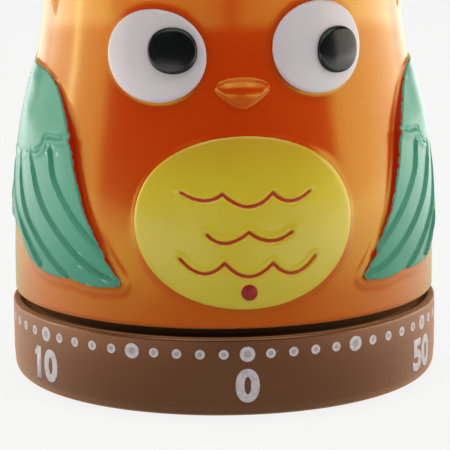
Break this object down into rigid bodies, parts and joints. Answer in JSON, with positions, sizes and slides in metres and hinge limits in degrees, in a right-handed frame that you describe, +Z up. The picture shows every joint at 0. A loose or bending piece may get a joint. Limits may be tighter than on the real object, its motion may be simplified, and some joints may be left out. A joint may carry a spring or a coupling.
{
  "type": "kitchen timer",
  "caption": "Wind-up kitchen timer: an owl-shaped knob turns on a round dial base that holds a clockwork movement and a bell.",
  "frame": {"origin": "centre of the resting face, on the turning axis", "axes": "+Z up along the turning axis, the owl and the zero mark face -Y, +X to the viewer's right"},
  "size_m": [0.07, 0.0704, 0.0838],
  "materials": {
    "owl_orange_plastic": "very glossy burnt-orange moulding",
    "wing_teal": "satin sea-green spray paint over the moulding",
    "belly_yellow": "satin mustard-yellow paint, engraved waves in orange red",
    "white_paint": "satin off-white paint",
    "pupil_black": "satin black paint",
    "pointer_red": "dark red paint dot",
    "hub_plastic": "natural white acetal",
    "dial_brown_plastic": "semi-gloss dark brown moulding, pale grey dial print",
    "cover_plastic": "matt dark brown moulding",
    "foot_rubber": "soft black rubber",
    "screw_steel": "zinc plated",
    "arbor_steel": "turned and ground",
    "plate_zinc": "galvanised sheet",
    "wheel_brass": "stamped brass",
    "bell_steel": "nickel plated bell"
  },
  "bodies": {
    "base": {"base_housing": "dial_brown_plastic", "base_cover": "cover_plastic", "rubber_foot_1": "foot_rubber", "rubber_foot_2": "foot_rubber", "rubber_foot_3": "foot_rubber", "cover_screw_1": "screw_steel", "cover_screw_2": "screw_steel", "cover_screw_3": "screw_steel", "bell": "bell_steel", "bell_post": "wheel_brass", "bell_screw": "screw_steel", "lower_plate": "plate_zinc", "upper_plate": "plate_zinc", "pillar_1": "arbor_steel", "pillar_2": "arbor_steel", "pillar_3": "arbor_steel", "pillar_nut_1": "wheel_brass", "pillar_nut_2": "wheel_brass", "pillar_nut_3": "wheel_brass", "movement_screw_1": "screw_steel", "movement_screw_2": "screw_steel", "movement_screw_3": "screw_steel", "mainspring": "arbor_steel", "lever_stud": "arbor_steel"},
    "owl": {"front_shell": "owl_orange_plastic", "rear_shell": "owl_orange_plastic", "left_wing": "wing_teal", "right_wing": "wing_teal", "belly_panel": "belly_yellow", "left_eye": "white_paint", "right_eye": "white_paint", "left_pupil": "pupil_black", "right_pupil": "pupil_black", "pointer_dot": "pointer_red", "hub": "hub_plastic", "hub_screw_1": "screw_steel", "hub_screw_2": "screw_steel", "hub_screw_3": "screw_steel", "hub_screw_4": "screw_steel", "main_arbor": "arbor_steel", "arbor_cam": "wheel_brass", "ratchet_wheel": "arbor_steel"},
    "great_gear": {"great_wheel": "wheel_brass", "click": "arbor_steel"},
    "second_gear": {"second_pinion": "arbor_steel", "second_wheel": "wheel_brass"},
    "third_gear": {"third_pinion": "arbor_steel", "third_wheel": "wheel_brass"},
    "escape_gear": {"escape_pinion": "arbor_steel", "escape_wheel": "wheel_brass"},
    "pallet": {"pallet_arbor": "arbor_steel", "pallet_anchor": "arbor_steel", "balance_bar": "wheel_brass"},
    "alarm_gear": {"alarm_pinion": "arbor_steel", "star_wheel": "wheel_brass"},
    "hammer_lever": {"hammer_arbor": "arbor_steel", "hammer": "arbor_steel", "hammer_pallet": "arbor_steel"},
    "trip": {"trip_lever": "arbor_steel"}
  },
  "joints": [
    {"name": "owl_turn", "type": "hinge", "parent": "base", "child": "owl", "pos_m": [0, 0, 0], "axis": [0, 0, 1], "range_deg": [-354, 0]},
    {"name": "great_turn", "type": "hinge", "parent": "base", "child": "great_gear", "pos_m": [0, 0, 0], "axis": [0, 0, 1], "range_deg": [-354, 0]},
    {"name": "second_turn", "type": "hinge", "parent": "base", "child": "second_gear", "pos_m": [-0.01261, 0.00728, 0], "axis": [0, 0, 1], "range_deg": [0, 2124]},
    {"name": "third_turn", "type": "hinge", "parent": "base", "child": "third_gear", "pos_m": [-0.01427, -0.00095, 0], "axis": [0, 0, 1], "range_deg": [-12744, 0]},
    {"name": "escape_turn", "type": "hinge", "parent": "base", "child": "escape_gear", "pos_m": [-0.01179, -0.0081, 0], "axis": [0, 0, 1], "range_deg": [0, 76464]},
    {"name": "alarm_turn", "type": "hinge", "parent": "base", "child": "alarm_gear", "pos_m": [0.01368, 0.00498, 0], "axis": [0, 0, 1], "range_deg": [0, 2124]},
    {"name": "pallet_swing", "type": "hinge", "parent": "base", "child": "pallet", "pos_m": [-0.00879, -0.01329, 0], "axis": [0, 0, 1], "range_deg": [-5, 5]},
    {"name": "hammer_swing", "type": "hinge", "parent": "base", "child": "hammer_lever", "pos_m": [0.01237, 0.01237, 0], "axis": [0, 0, 1], "range_deg": [-4, 4]},
    {"name": "trip_drop", "type": "hinge", "parent": "base", "child": "trip", "pos_m": [-0.00832, 0.01188, 0], "axis": [0, 0, 1], "range_deg": [-6, 0]}
  ],
  "couplings": [
    {"joint": "great_turn", "follows": "owl_turn", "ratio": 1},
    {"joint": "second_turn", "follows": "owl_turn", "ratio": -6},
    {"joint": "third_turn", "follows": "owl_turn", "ratio": 36},
    {"joint": "escape_turn", "follows": "owl_turn", "ratio": -216},
    {"joint": "alarm_turn", "follows": "owl_turn", "ratio": -6}
  ]
}
